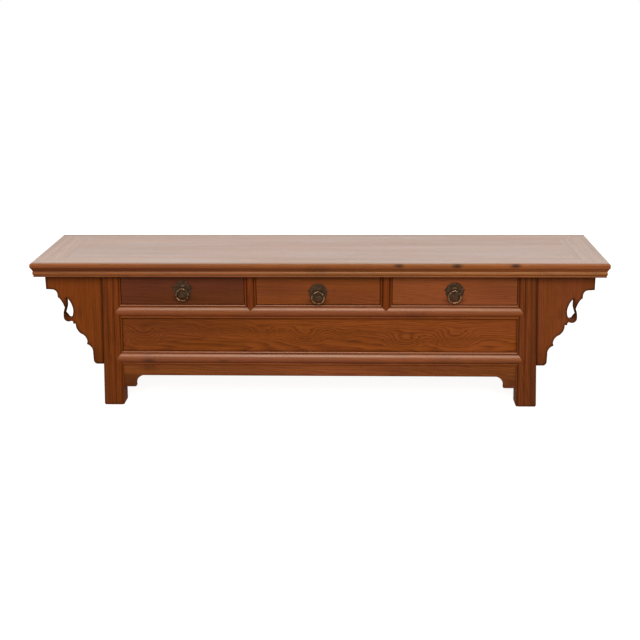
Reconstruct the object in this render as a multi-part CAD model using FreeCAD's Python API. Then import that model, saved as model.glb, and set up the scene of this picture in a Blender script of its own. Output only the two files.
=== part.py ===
import FreeCAD, Part
import os

# A kang table: a long, low Chinese table with three drawers over a closed panel, splayed legs,
# and a pierced spandrel under each overhanging end. All of it is joined with tenons and tongues.
# Millimetres. The origin is on the floor under the middle of the top, +X is to the right,
# +Z is up, and the drawers face -Y.

V = FreeCAD.Vector

# Overall size and stance
top_length = 1830.0
top_depth = 430.0
table_height = 489.0
end_overhang = 221.0         # from the end of the top to the leg's outer edge, at the leg's head
front_overhang = 30.0        # from the edge of the top to the face of the legs
leg_splay = 18.5             # how much further out the leg's outer edge stands at the floor

# Top: mitred frame, moulded edge, two floating boards
top_rail_width = 85.0
top_end_width = 100.0
band_height = 14.0
cove_height = 13.0
roll_height = 11.5
edge_bead_height = 7.5
cove_quirk = 0.5
cove_inset = 7.6
roll_bulge = 1.6
edge_groove = 1.2
edge_groove_height = 1.2
underside_inset = 11.5
top_arris = 4.0
board_thickness = 16.0
board_tongue = 8.0
board_tongue_thickness = 7.0
board_tongue_drop = 5.0
board_joint_tongue = 6.0
mitre_tenon_length = 45.0
mitre_tenon_width = 40.0
mitre_tenon_thickness = 10.0
mitre_tenon_inset = 28.0
brace_width = 42.0
brace_tenon_length = 14.0
brace_tenon_height = 12.0

# Legs
leg_foot_width = 67.5
leg_head_width = 59.0
leg_depth = 58.0
leg_tenon_width = 28.0
leg_tenon_depth = 20.0
leg_tenon_height = 24.0
foot_round = 6.0             # worn corners of the foot

# Moulded faces: depths are measured back from the face of the legs
bead_crest = 5.5
bead_root = 8.0
rail_crown = 0.5
rail_bead = 7.0
strip_crest = 1.3            # of the two crowned strips down a leg
strip_valley = 5.0
leg_groove = 4.8             # between the outer strip and the broad bead at the leg's outer edge
leg_edge_bead = 17.0
leg_edge_crest = 2.6

# Rails and dividers
drawer_bay_height = 98.3
rail_height = 46.0
rail_depth = 36.0
panel_opening = 112.8
mitre_reach = 18.0           # how far the point of a rail runs into the leg
mitre_thickness = 14.0
rail_tenon_length = 38.0
rail_tenon_height = 28.0
rail_tenon_thickness = 13.0
rail_tenon_setback = 3.5     # from the mitred layer to the tenon
divider_width = 37.4
divider_reach = 19.0         # how far the point of a divider runs into the rail
divider_tenon_width = 18.0
divider_tenon_depth = 10.0
divider_tenon_height = 12.0
divider_tenon_setback = 1.5  # from the mitred layer to the tenon

# Panels, apron and bottom
panel_recess = 12.5
panel_thickness = 10.0
panel_tongue = 8.0
apron_recess = 9.0
apron_thickness = 14.0
apron_height = 38.5
apron_tongue = 6.0
drop_height = 39.5
drop_width = 41.5
drop_curve_width = 22.0
drop_corner = 5.0
bottom_thickness = 10.0
bottom_raise = 14.0          # from the underside of the lower rails to the bottom boards
bottom_count = 3

# Spandrels
spandrel_inset = 35.0        # from the end of the top to the spandrel's end
spandrel_recess = 12.0
spandrel_thickness = 18.0
spandrel_tongue = 7.0
spandrel_tongue_thickness = 10.0

# Sides and back
side_rail_thickness = 30.0
side_upper_rail_height = 34.0
side_tenon_length = 22.0
side_tenon_thickness = 12.0
side_tenon_margin = 7.0
back_panel_recess = 7.0
back_rail_recess = 4.0
runner_rail_thickness = 26.0
runner_rail_gap = 3.0        # between the runner rail and the back panel
runner_rail_height = 40.0

# Drawer runners and guides
runner_width = 70.0
runner_height = 26.0
runner_tenon_length = 8.0
runner_tenon_width = 24.0
runner_tenon_height = 10.0
guide_height = 14.0

# Drawers
drawer_recess = 7.0
drawer_side_gap = 1.0
drawer_top_gap = 1.2
drawer_bottom_gap = 1.2
drawer_running_gap = 0.3
drawer_back_gap = 7.0
front_thickness = 20.0
front_edge_round = 2.2
drawer_wall = 12.0
drawer_side_height = 85.0
drawer_back_lowering = 4.0
drawer_bottom_thickness = 8.0
drawer_bottom_raise = 8.0
drawer_bottom_tongue = 5.0
tail_length = 12.0
tail_root = 20.0
tail_flare = 3.0
tail_count = 2
back_housing = 5.0

# Ring pulls: from the underside of the top down to each eye, uneven because they were set by eye
pull_drops = [41.5, 51.0, 47.0]
plate_radius = 29.5
plate_drop = 5.0             # from the eye to the middle of its plate
plate_thickness = 1.8
plate_boss_radius = 9.0
plate_boss_height = 1.4
plate_rim = 0.6
eye_radius = 6.2
eye_wire = 4.0
eye_stem = 5.0
eye_tail_length = 12.0
eye_tail_thickness = 2.5
ring_radius = 19.5
ring_wire = 5.0
ring_seat_gap = 0.4

# Clearances
joint_gap = 0.15
hole_gap = 0.3

# Heights and faces that the pieces share
top_thickness = band_height + cove_height + roll_height + edge_bead_height
underside = table_height - top_thickness
board_underside = table_height - board_thickness
leg_face = front_overhang - top_depth / 2
leg_back = leg_face + leg_depth
rail_back = leg_face + rail_depth
upper_rail_top = underside - drawer_bay_height
upper_rail_bottom = upper_rail_top - rail_height
lower_rail_top = upper_rail_bottom - panel_opening
lower_rail_bottom = lower_rail_top - rail_height
apron_bottom = lower_rail_bottom - apron_height
inner_half_length = top_length / 2 - top_end_width
inner_half_depth = top_depth / 2 - top_rail_width
outer_head = top_length / 2 - end_overhang
leg_bead = rail_bead * mitre_reach / (rail_height / 2)
divider_bead = rail_bead * (divider_width / 2) / divider_reach
back_panel_face = -leg_face - back_panel_recess
back_panel_front = back_panel_face - panel_thickness
runner_rail_back = back_panel_front - runner_rail_gap
runner_rail_front = runner_rail_back - runner_rail_thickness


def leg_width(z):
    return leg_foot_width + (leg_head_width - leg_foot_width) * z / underside


def outer_edge(z):
    return outer_head + leg_splay * (1 - z / underside)


def inner_edge(z):
    return outer_edge(z) - leg_width(z)


def leg_middle(z):
    return outer_edge(z) - leg_width(z) / 2


bay_width = 2 * (inner_edge(underside) - divider_width) / 3
divider_x = (bay_width + divider_width) / 2


def block(x, y, z, grow=0.0):
    """Box between two values on each axis, grown on every side."""
    corner = V(x[0] - grow, y[0] - grow, z[0] - grow)
    extra = 2 * grow
    return Part.makeBox(x[1] - x[0] + extra, y[1] - y[0] + extra, z[1] - z[0] + extra, corner)


def polygon(points):
    return Part.Face(Part.makePolygon(points + points[:1]))


def upright(corners, y):
    """Solid of an outline of (x, z) corners between two values of y."""
    return polygon([V(px, y[0], pz) for px, pz in corners]).extrude(V(0, y[1] - y[0], 0))


def level(corners, z):
    """Solid of an outline of (x, y) corners between two values of z."""
    return polygon([V(px, py, z[0]) for px, py in corners]).extrude(V(0, 0, z[1] - z[0]))


def path(place, start, steps):
    """Closed wire. A step of one point is a line, a step of two is an arc through the first."""
    edges = []
    here = place(*start)
    if steps[-1][-1] != start:
        steps = steps + [(start,)]
    for step in steps:
        there = place(*step[-1])
        if len(step) == 2:
            edges.append(Part.Arc(here, place(*step[0]), there).toShape())
        else:
            edges.append(Part.LineSegment(here, there).toShape())
        here = there
    return Part.Wire(edges)


def rail_section(place, width, bead):
    """Section of a front rail or divider: bead, round face, bead, then square to its back."""
    steps = [
        ((bead / 2, bead_crest), (bead, bead_root)),
        ((width / 2, rail_crown), (width - bead, bead_root)),
        ((width - bead / 2, bead_crest), (width, bead_root)),
        ((width, rail_depth),),
        ((0, rail_depth),),
    ]
    return path(place, (0, bead_root), steps)


def across(shape):
    """The same shape on the other side of the table's length."""
    return shape.mirror(V(0, 0, 0), V(1, 0, 0))


def behind(shape):
    """The same shape at the back."""
    return shape.mirror(V(0, 0, 0), V(0, 1, 0))


def both(shapes):
    """Shapes on the right and their mirrors on the left."""
    return shapes + [across(shape) for shape in shapes]


# Tenons and tongues. Each is made at its own size for the piece that carries it, and grown by the
# joint's gap to cut the piece that takes it.

def board_tongues(grow):
    top = table_height - board_tongue_drop
    reach_x = inner_half_length + board_tongue
    reach_y = inner_half_depth + board_tongue
    return block((-reach_x, reach_x), (-reach_y, reach_y), (top - board_tongue_thickness, top), grow)


def mitre_tenon(grow):
    """Right-hand tenon of the front top rail, which runs into the end rail."""
    x0 = inner_half_length
    y0 = -top_depth / 2 + mitre_tenon_inset
    z1 = board_underside - joint_gap - board_tongue_drop
    x = (x0, x0 + mitre_tenon_length)
    return block(x, (y0, y0 + mitre_tenon_width), (z1 - mitre_tenon_thickness, z1), grow)


def leg_tenon(grow):
    x = leg_middle(underside)
    y = leg_face + leg_depth / 2
    half_x = leg_tenon_width / 2
    half_y = leg_tenon_depth / 2
    z = (underside - leg_tenon_height, underside + leg_tenon_height)
    return block((x - half_x, x + half_x), (y - half_y, y + half_y), z, grow)


def brace_tenons(x, grow):
    half = brace_width / 2
    reach = inner_half_depth + brace_tenon_length
    middle = (underside + board_underside) / 2
    z = (middle - brace_tenon_height / 2, middle + brace_tenon_height / 2)
    return block((x - half, x + half), (-reach, reach), z, grow)


def rail_tenon(bottom, grow):
    """Right-hand tenon of a front rail."""
    middle = bottom + rail_height / 2
    inner = inner_edge(middle)
    y0 = leg_face + mitre_thickness + rail_tenon_setback
    z = (middle - rail_tenon_height / 2, middle + rail_tenon_height / 2)
    x = (inner - rail_tenon_length, inner + rail_tenon_length)
    return block(x, (y0, y0 + rail_tenon_thickness), z, grow)


def rail_point(bottom, grow):
    """Right-hand half of a front rail's outline, with its point, in the layer that is mitred."""
    top = bottom + rail_height
    middle = bottom + rail_height / 2
    tip = inner_edge(middle) + mitre_reach - joint_gap + 2 * grow
    low = inner_edge(bottom) - joint_gap
    high = inner_edge(top) - joint_gap
    y = (leg_face - grow, leg_face + mitre_thickness + grow)
    corners = [(0, bottom - 2 * grow), (low, bottom - 2 * grow), (tip, middle)]
    corners += [(high, top + 2 * grow), (0, top + 2 * grow)]
    return upright(corners, y)


def divider_point(x, grow):
    """Outline of a divider, with its point, in the layer that is mitred."""
    half = divider_width / 2 + 2 * grow
    tip = upper_rail_top - divider_reach - 2 * grow
    shoulder = upper_rail_top + joint_gap
    top = underside - joint_gap
    corners = [(x - half, top), (x - half, shoulder), (x, tip), (x + half, shoulder), (x + half, top)]
    return upright(corners, (leg_face - grow, leg_face + mitre_thickness + grow))


def divider_tenons(x, grow):
    half = divider_tenon_width / 2
    y0 = leg_face + mitre_thickness + divider_tenon_setback
    z = (upper_rail_top - divider_tenon_height, underside + divider_tenon_height)
    return block((x - half, x + half), (y0, y0 + divider_tenon_depth), z, grow)


def front_panel_board(grow):
    low = lower_rail_top - panel_tongue
    high = upper_rail_bottom + panel_tongue
    reach = panel_tongue + grow
    corners = [(-inner_edge(low) - reach, low - grow), (inner_edge(low) + reach, low - grow)]
    corners += [(inner_edge(high) + reach, high + grow), (-inner_edge(high) - reach, high + grow)]
    y0 = leg_face + panel_recess
    return upright(corners, (y0 - grow, y0 + panel_thickness + grow))


def back_panel_board(grow):
    low = lower_rail_top - panel_tongue
    high = underside + panel_tongue
    reach = panel_tongue + grow
    corners = [(-inner_edge(low) - reach, low - grow), (inner_edge(low) + reach, low - grow)]
    corners += [(inner_edge(high) + reach, high + grow), (-inner_edge(high) - reach, high + grow)]
    return upright(corners, (back_panel_front - grow, back_panel_face + grow))


def apron_board(grow):
    """Apron: a strip under the lower rail with a dropped, curved end against each leg."""
    top = lower_rail_bottom + apron_tongue + grow
    low = apron_bottom - drop_height - grow
    end_low = inner_edge(low) + apron_tongue + grow
    end_high = inner_edge(top) + apron_tongue + grow
    edge = inner_edge(low) - drop_width + grow
    foot = low + drop_corner
    start = edge - drop_curve_width
    turn = edge - drop_curve_width * 0.28
    rise = drop_height - drop_corner
    right = [
        ((start, apron_bottom - grow),),
        ((turn, apron_bottom - grow - rise * 0.3), (edge, foot)),
        ((edge + drop_corner * 0.3, low + drop_corner * 0.3), (edge + drop_corner, low)),
        ((end_low, low),),
        ((end_high, top),),
    ]
    left = [
        ((-end_high, top),),
        ((-end_low, low),),
        ((-edge - drop_corner, low),),
        ((-edge - drop_corner * 0.3, low + drop_corner * 0.3), (-edge, foot)),
        ((-turn, apron_bottom - grow - rise * 0.3), (-start, apron_bottom - grow)),
    ]
    y0 = leg_face + apron_recess - grow
    wire = path(lambda px, pz: V(px, y0, pz), (-start, apron_bottom - grow), right + left)
    return Part.Face(wire).extrude(V(0, apron_thickness + 2 * grow, 0))


def spandrel_tongues(grow):
    """Right front spandrel's tongues, into the top's underside and into the leg's outer side."""
    y0 = leg_face + spandrel_recess + (spandrel_thickness - spandrel_tongue_thickness) / 2
    y = (y0 - grow, y0 + spandrel_tongue_thickness + grow)
    end = top_length / 2 - spandrel_inset - spandrel_tongue
    low = lower_rail_bottom + spandrel_tongue
    reach = spandrel_tongue + grow
    high = underside + reach
    inside = underside - spandrel_tongue
    start = outer_head + spandrel_tongue
    corners = [(outer_edge(low) - reach, low - grow), (outer_edge(low) + spandrel_tongue, low - grow)]
    corners += [(start, inside), (end + grow, inside), (end + grow, high), (start - grow, high)]
    corners += [(start - grow, underside), (outer_head - reach, underside)]
    return upright(corners, y)


def side_rail_tenons(bottom, top, grow):
    """Tenons of a right-hand side rail, into the front and back legs."""
    low = bottom + side_tenon_margin
    high = top - side_tenon_margin
    half = side_tenon_thickness / 2 + grow
    reach = -leg_back + side_tenon_length + grow
    corners = [(leg_middle(low) - half, low - grow), (leg_middle(low) + half, low - grow)]
    corners += [(leg_middle(high) + half, high + grow), (leg_middle(high) - half, high + grow)]
    return upright(corners, (-reach, reach))


def side_panel_board(grow):
    low = lower_rail_top - panel_tongue
    high = underside - side_upper_rail_height + panel_tongue
    half = panel_thickness / 2 + grow
    reach = -leg_back + panel_tongue + grow
    corners = [(leg_middle(low) - half, low - grow), (leg_middle(low) + half, low - grow)]
    corners += [(leg_middle(high) + half, high + grow), (leg_middle(high) - half, high + grow)]
    return upright(corners, (-reach, reach))


def back_rail_tenon(z, y, grow):
    """Right-hand tenon of a back rail, a third of the rail's thickness."""
    middle = (z[0] + z[1]) / 2
    third = (y[1] - y[0]) / 3
    inner = inner_edge(middle)
    x = (inner - rail_tenon_length, inner + rail_tenon_length)
    span = (middle - rail_tenon_height / 2, middle + rail_tenon_height / 2)
    return block(x, (y[0] + third, y[1] - third), span, grow)


def bottom_panel(grow):
    """All the bottom boards as one sheet, in grooves of the four lower rails."""
    z0 = lower_rail_bottom + bottom_raise
    reach_x = leg_middle(z0) - side_rail_thickness / 2 + panel_tongue
    y = (rail_back - panel_tongue, back_lower_y[0] + panel_tongue)
    return block((-reach_x, reach_x), y, (z0, z0 + bottom_thickness), grow)


def runner_tenons(x, grow):
    half = runner_tenon_width / 2
    y = (rail_back - runner_tenon_length, runner_rail_front + runner_tenon_length)
    low = upper_rail_top - runner_height
    return block((x - half, x + half), y, (low, low + runner_tenon_height), grow)


back_lower_y = (-rail_back, -leg_face - back_rail_recess)
runner_rail_y = (runner_rail_front, runner_rail_back)
runner_rail_z = (upper_rail_top - runner_rail_height, upper_rail_top)
lower_rail_z = (lower_rail_bottom, lower_rail_top)
side_upper_z = (underside - side_upper_rail_height, underside)
end_runner_x = inner_edge(upper_rail_top) - joint_gap - runner_width / 2
runner_places = [-end_runner_x, -divider_x, divider_x, end_runner_x]
brace_places = [-leg_middle(underside), 0.0, leg_middle(underside)]

pieces = {}


# The top: frame rails with the moulded edge, mitred at the corners

def edge_section(place, width):
    """Section of a top rail: upright band, cove, roll, groove and bead, then the flat underside."""
    cove_end = band_height + cove_height
    roll_end = cove_end + roll_height
    bead_start = (cove_inset + edge_groove, roll_end + edge_groove_height)
    steps = [
        ((top_arris * 0.3, top_arris * 0.3), (0, top_arris)),
        ((0, band_height),),
        ((cove_quirk, band_height),),
        ((cove_inset * 0.63, band_height + cove_height / 2), (cove_inset, cove_end)),
        ((cove_inset - roll_bulge, cove_end + roll_height / 2), (cove_inset, roll_end)),
        (bead_start,),
        ((cove_inset + edge_groove / 3, roll_end + edge_bead_height * 0.55),
         (underside_inset, top_thickness)),
        ((width, top_thickness),),
        ((width, 0),),
    ]
    return path(place, (top_arris, 0), steps)


def top_front_rail():
    half_x = top_length / 2
    edge = -top_depth / 2
    section = edge_section(lambda into, down: V(-half_x, edge + into, table_height - down), top_rail_width)
    bar = Part.Face(section).extrude(V(top_length, 0, 0))
    inner = -inner_half_depth
    corners = [(-half_x, edge), (half_x, edge), (inner_half_length, inner), (-inner_half_length, inner)]
    rail = bar.common(level(corners, (underside, table_height)))
    return rail.fuse(both([mitre_tenon(0)])).removeSplitter()


def top_right_end():
    half_x = top_length / 2
    edge = top_depth / 2
    section = edge_section(lambda into, down: V(half_x - into, -edge, table_height - down), top_end_width)
    bar = Part.Face(section).extrude(V(0, top_depth, 0))
    gap = 2 * joint_gap
    corners = [(half_x, -edge + gap), (half_x, edge - gap)]
    corners += [(inner_half_length, inner_half_depth - gap), (inner_half_length, -inner_half_depth + gap)]
    end = bar.common(level(corners, (underside, table_height)))
    tenon = mitre_tenon(joint_gap)
    return end.cut([tenon, behind(tenon), board_tongues(joint_gap)])


def top_boards():
    reach_x = inner_half_length - joint_gap
    reach_y = inner_half_depth - joint_gap
    slab = block((-reach_x, reach_x), (-reach_y, reach_y), (board_underside, table_height))
    sheet = slab.fuse(board_tongues(0)).removeSplitter()
    half = block((-top_length, top_length), (-top_depth, -joint_gap / 2), (0, 2 * table_height))
    top = table_height - board_tongue_drop
    tongue_x = (-reach_x, reach_x)
    tongue_z = (top - board_tongue_thickness, top)
    tongue = block(tongue_x, (-board_joint_tongue, board_joint_tongue), tongue_z)
    groove = block(tongue_x, (-board_joint_tongue, board_joint_tongue), tongue_z, joint_gap)
    return sheet.common(half).fuse(tongue).removeSplitter(), sheet.common(behind(half)).cut(groove)


def top_brace(x):
    half = brace_width / 2
    reach = inner_half_depth - joint_gap
    z = (underside + joint_gap, board_underside - joint_gap)
    body = block((x - half, x + half), (-reach, reach), z)
    return body.fuse(brace_tenons(x, 0)).removeSplitter()


spandrel_cutters = both([spandrel_tongues(joint_gap)])
leg_cutters = both([leg_tenon(joint_gap)])
brace_cutters = [brace_tenons(x, joint_gap) for x in brace_places]
divider_cutters = [divider_tenons(x, joint_gap) for x in (-divider_x, divider_x)]

rail_blank = top_front_rail()
end_blank = top_right_end().cut(spandrel_cutters + [behind(cutter) for cutter in spandrel_cutters])
shared_cutters = [board_tongues(joint_gap)] + brace_cutters + spandrel_cutters + leg_cutters
pieces["top_front_rail"] = rail_blank.cut(shared_cutters + divider_cutters)
pieces["top_back_rail"] = behind(rail_blank.cut(shared_cutters)).cut(back_panel_board(joint_gap))
pieces["top_right_end"] = end_blank
pieces["top_left_end"] = across(end_blank)
pieces["top_front_board"], pieces["top_back_board"] = top_boards()
pieces["top_braces"] = Part.makeCompound([top_brace(x) for x in brace_places])


# Legs: splayed outwards, thinner at the head, with beads and two crowned strips down the face

def leg_section(place, width):
    """Section of a leg from its inner edge: bead, two crowned strips, broad bead, square back."""
    edge = width - leg_edge_bead
    middle = (leg_bead + edge) / 2
    steps = [
        ((leg_bead / 2, bead_crest), (leg_bead, bead_root)),
        (((leg_bead + middle) / 2, strip_crest), (middle, strip_valley)),
        (((middle + edge) / 2, strip_crest), (edge, leg_groove)),
        ((width - leg_edge_bead / 2, leg_edge_crest), (width, bead_root)),
        ((width, leg_depth),),
        ((0, leg_depth),),
    ]
    return path(place, (0, bead_root), steps)


def worn_outline(place, low, high):
    """Upright outline round a leg: its foot's two corners are rounded, and above them it stands clear."""
    corner = foot_round * 0.3
    clear = leg_foot_width
    steps = [
        ((high - foot_round, 0),),
        ((high - corner, corner), (high, foot_round)),
        ((high + clear, foot_round),),
        ((high + clear, table_height),),
        ((low - clear, table_height),),
        ((low - clear, foot_round),),
        ((low, foot_round),),
        ((low + corner, corner), (low + foot_round, 0)),
    ]
    return Part.Face(path(place, (low + foot_round, 0), steps))


def worn_foot():
    """Room for a leg with a worn foot: what an outline seen from the front and one from the side share."""
    inner = inner_edge(foot_round) - joint_gap
    outer = outer_edge(foot_round) + joint_gap
    clear = leg_foot_width
    front = worn_outline(lambda px, pz: V(px, leg_face - clear, pz), inner, outer)
    side = worn_outline(lambda py, pz: V(inner - clear, py, pz), leg_face - joint_gap, leg_back + joint_gap)
    front_room = front.extrude(V(0, leg_depth + 2 * clear, 0))
    return front_room.common(side.extrude(V(outer - inner + 2 * clear, 0, 0)))


def leg_blank():
    sections = []
    for z in (0.0, underside - joint_gap):
        def place(side, back):
            return V(inner_edge(z) + side, leg_face + back, z)
        sections.append(leg_section(place, leg_width(z)))
    leg = Part.makeLoft(sections, True, True).common(worn_foot())
    return leg.fuse(leg_tenon(0)).removeSplitter()


side_cutters = [side_rail_tenons(*lower_rail_z, joint_gap), side_rail_tenons(*side_upper_z, joint_gap)]
side_cutters += [side_panel_board(joint_gap), spandrel_tongues(joint_gap)]
front_cutters = [rail_point(z, joint_gap) for z in (lower_rail_bottom, upper_rail_bottom)]
front_cutters += [rail_tenon(z, joint_gap) for z in (lower_rail_bottom, upper_rail_bottom)]
front_cutters += [front_panel_board(joint_gap), apron_board(joint_gap)]
back_cutters = [back_rail_tenon(lower_rail_z, back_lower_y, joint_gap)]
back_cutters += [back_rail_tenon(runner_rail_z, runner_rail_y, joint_gap), back_panel_board(joint_gap)]
plain_leg = leg_blank().cut(side_cutters)
front_leg = plain_leg.cut(front_cutters)
back_leg = behind(plain_leg).cut(back_cutters)
pieces["right_front_leg"] = front_leg
pieces["left_front_leg"] = across(front_leg)
pieces["right_back_leg"] = back_leg
pieces["left_back_leg"] = across(back_leg)


# Front: two moulded rails with pointed ends, two dividers, panel and apron

def front_rail(bottom):
    reach = top_length / 2
    section = rail_section(lambda up, back: V(-reach, leg_face + back, bottom + up), rail_height, rail_bead)
    bar = Part.Face(section).extrude(V(top_length, 0, 0))
    top = bottom + rail_height
    low = inner_edge(bottom) - joint_gap
    high = inner_edge(top) - joint_gap
    straight = upright([(-low, bottom), (low, bottom), (high, top), (-high, top)], (leg_face, rail_back))
    pointed = straight.fuse(both([rail_point(bottom, 0)]))
    return bar.common(pointed).fuse(both([rail_tenon(bottom, 0)])).removeSplitter()


def divider(x):
    half = divider_width / 2
    low = upper_rail_top - divider_reach
    section = rail_section(lambda side, back: V(x - half + side, leg_face + back, low),
                           divider_width, divider_bead)
    post = Part.Face(section).extrude(V(0, 0, underside - low))
    body_z = (upper_rail_top + joint_gap, underside - joint_gap)
    body = block((x - half, x + half), (leg_face, rail_back), body_z)
    shape = post.common(body.fuse(divider_point(x, 0)))
    return shape.fuse(divider_tenons(x, 0)).removeSplitter()


upper_cutters = divider_cutters + [divider_point(x, joint_gap) for x in (-divider_x, divider_x)]
upper_cutters += [runner_tenons(x, joint_gap) for x in runner_places]
panel_cutter = front_panel_board(joint_gap)
pieces["front_upper_rail"] = front_rail(upper_rail_bottom).cut(upper_cutters + [panel_cutter])
lower_cutters = [panel_cutter, apron_board(joint_gap), bottom_panel(joint_gap)]
pieces["front_lower_rail"] = front_rail(lower_rail_bottom).cut(lower_cutters)
pieces["left_divider"] = divider(-divider_x)
pieces["right_divider"] = divider(divider_x)
pieces["front_panel"] = front_panel_board(0)
pieces["front_apron"] = apron_board(0)


# Spandrels: a carver's pattern, stretched to the overhang and to the drop from top to lower rail.
# Pattern points are (out from the leg's head, down from the top).
pattern_reach = 186.0
pattern_drop = 302.0
spandrel_outline = [
    ((186.0, 48.5),),                       # upright end
    ((167.0, 49.5),),                       # ledge
    ((155.0, 54.5), (150.5, 67.0)),         # cove
    ((149.5, 77.0),),
    ((146.0, 78.0),),                       # step
    ((134.0, 98.0), (129.8, 111.0)),        # long cove
    ((134.3, 125.0), (135.5, 139.5)),       # outer side of the curl
    ((131.8, 152.3), (122.5, 157.5)),
    ((116.0, 157.0), (110.0, 155.0)),
    ((106.2, 158.0),),
    ((105.5, 165.0),),
    ((98.0, 164.8),),                       # tooth
    ((94.4, 184.0), (83.0, 198.3)),         # ogee
    ((69.0, 209.0), (63.4, 225.0)),
    ((65.8, 234.5),),                       # cusp
    ((51.5, 245.0), (47.3, 262.0)),         # last cove
    ((46.7, 288.0),),
    ((43.5, 297.5), (35.5, 302.0)),         # round toe
]
spandrel_piercing = [
    ((121.5, 91.0), (122.0, 105.0)),
    ((125.0, 116.0), (129.5, 128.5)),       # the sharp end under the curl
    ((124.6, 134.0), (120.0, 141.5)),
    ((113.5, 143.8), (106.0, 136.5)),
    ((102.8, 120.0), (105.8, 102.6)),
    ((112.2, 88.2), (123.0, 76.0)),
]


def spandrel():
    y0 = leg_face + spandrel_recess
    stretch_x = (end_overhang - spandrel_inset) / pattern_reach
    stretch_z = (underside - lower_rail_bottom) / pattern_drop

    def place(out, down):
        return V(outer_head + out * stretch_x, y0, underside - joint_gap - down * stretch_z)

    def leg_side(z):
        return (outer_edge(z) + joint_gap - outer_head) / stretch_x

    steps = spandrel_outline + [((leg_side(lower_rail_bottom), pattern_drop),), ((leg_side(underside), 0),)]
    board = Part.Face(path(place, (pattern_reach, 0), steps)).extrude(V(0, spandrel_thickness, 0))
    hole = Part.Face(path(place, spandrel_piercing[-1][-1], spandrel_piercing))
    return board.fuse(spandrel_tongues(0)).removeSplitter().cut(hole.extrude(V(0, spandrel_thickness, 0)))


front_spandrel = spandrel()
pieces["right_front_spandrel"] = front_spandrel
pieces["left_front_spandrel"] = across(front_spandrel)
pieces["right_back_spandrel"] = behind(front_spandrel)
pieces["left_back_spandrel"] = across(behind(front_spandrel))


# Sides and back: plain rails with panels in their grooves, and the rail that carries the runners

def side_rail(z):
    half = side_rail_thickness / 2
    reach = -leg_back - joint_gap
    low = z[0] + joint_gap
    high = z[1] - joint_gap
    corners = [(leg_middle(low) - half, low), (leg_middle(low) + half, low)]
    corners += [(leg_middle(high) + half, high), (leg_middle(high) - half, high)]
    return upright(corners, (-reach, reach)).fuse(side_rail_tenons(*z, 0)).removeSplitter()


def back_rail(z, y):
    low = inner_edge(z[0]) - joint_gap
    high = inner_edge(z[1]) - joint_gap
    bar = upright([(-low, z[0]), (low, z[0]), (high, z[1]), (-high, z[1])], y)
    return bar.fuse(both([back_rail_tenon(z, y, 0)])).removeSplitter()


side_cutter = side_panel_board(joint_gap)
side_pieces = {
    "upper_rail": side_rail(side_upper_z).cut(side_cutter),
    "panel": side_panel_board(0),
    "lower_rail": side_rail(lower_rail_z).cut([side_cutter, bottom_panel(joint_gap)]),
}
for name, shape in side_pieces.items():
    pieces["right_side_" + name] = shape
    pieces["left_side_" + name] = across(shape)
back_lower = back_rail(lower_rail_z, back_lower_y)
pieces["back_lower_rail"] = back_lower.cut([back_panel_board(joint_gap), bottom_panel(joint_gap)])
runner_cutters = [runner_tenons(x, joint_gap) for x in runner_places]
pieces["back_runner_rail"] = back_rail(runner_rail_z, runner_rail_y).cut(runner_cutters)
pieces["back_panel"] = back_panel_board(0)


# Bottom boards, notched round the legs

def bottom_boards():
    sheet = bottom_panel(0)
    low = inner_edge(lower_rail_bottom + bottom_raise + bottom_thickness) - hole_gap
    corner = block((low, top_length), (-top_depth, leg_back + hole_gap), (0, table_height))
    notched = sheet.cut(both([corner, behind(corner)]))
    box = notched.BoundBox
    width = (box.YMax - box.YMin) / bottom_count
    boards = []
    for index in range(bottom_count):
        y0 = box.YMin + index * width + joint_gap / 2
        slot = block((-top_length, top_length), (y0, y0 + width - joint_gap), (0, table_height))
        boards.append(notched.common(slot))
    return Part.makeCompound(boards)


pieces["bottom_boards"] = bottom_boards()


# Runners under the drawer sides, and guide strips between neighbouring drawers

def runner(x):
    half = runner_width / 2
    y = (rail_back + joint_gap, runner_rail_front - joint_gap)
    body = block((x - half, x + half), y, (upper_rail_top - runner_height, upper_rail_top))
    return body.fuse(runner_tenons(x, 0)).removeSplitter()


def guide(x):
    half = divider_width / 2
    y = (rail_back + joint_gap, runner_rail_front - joint_gap)
    z0 = upper_rail_top + joint_gap
    return block((x - half, x + half), y, (z0, z0 + guide_height))


runner_names = ["left_end_runner", "left_middle_runner", "right_middle_runner", "right_end_runner"]
for name, x in zip(runner_names, runner_places):
    pieces[name] = runner(x)
pieces["drawer_guides"] = Part.makeCompound([guide(x) for x in (-divider_x, divider_x)])


# Drawers: front, dovetailed sides, housed back, and a bottom in grooves

front_y = (leg_face + drawer_recess, leg_face + drawer_recess + front_thickness)
drawer_end = runner_rail_front - drawer_back_gap
front_z = (upper_rail_top + drawer_bottom_gap, underside - drawer_top_gap)
side_z = (upper_rail_top + drawer_running_gap, upper_rail_top + drawer_running_gap + drawer_side_height)
bottom_z0 = side_z[0] + drawer_bottom_raise
bottom_z = (bottom_z0, bottom_z0 + drawer_bottom_thickness)


def tails(x, grow):
    """Dovetail tails of a drawer side, running forwards into the drawer front."""
    solids = []
    y0 = front_y[1]
    pitch = (front_z[1] - bottom_z[1]) / tail_count
    for index in range(tail_count):
        middle = bottom_z[1] + pitch * (index + 0.5) - drawer_back_lowering
        root = tail_root / 2 + grow
        wide = root + tail_flare
        tip = y0 - tail_length - grow
        start = y0 + joint_gap + tail_flare
        points = [(start, middle - root), (start, middle + root), (tip, middle + wide), (tip, middle - wide)]
        face = polygon([V(x[0] - grow, py, pz) for py, pz in points])
        solids.append(face.extrude(V(x[1] - x[0] + 2 * grow, 0, 0)))
    return solids


def drawer_bottom(left, right, grow):
    x = (left + drawer_wall - drawer_bottom_tongue, right - drawer_wall + drawer_bottom_tongue)
    return block(x, (front_y[1] - drawer_bottom_tongue, drawer_end), bottom_z, grow)


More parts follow.
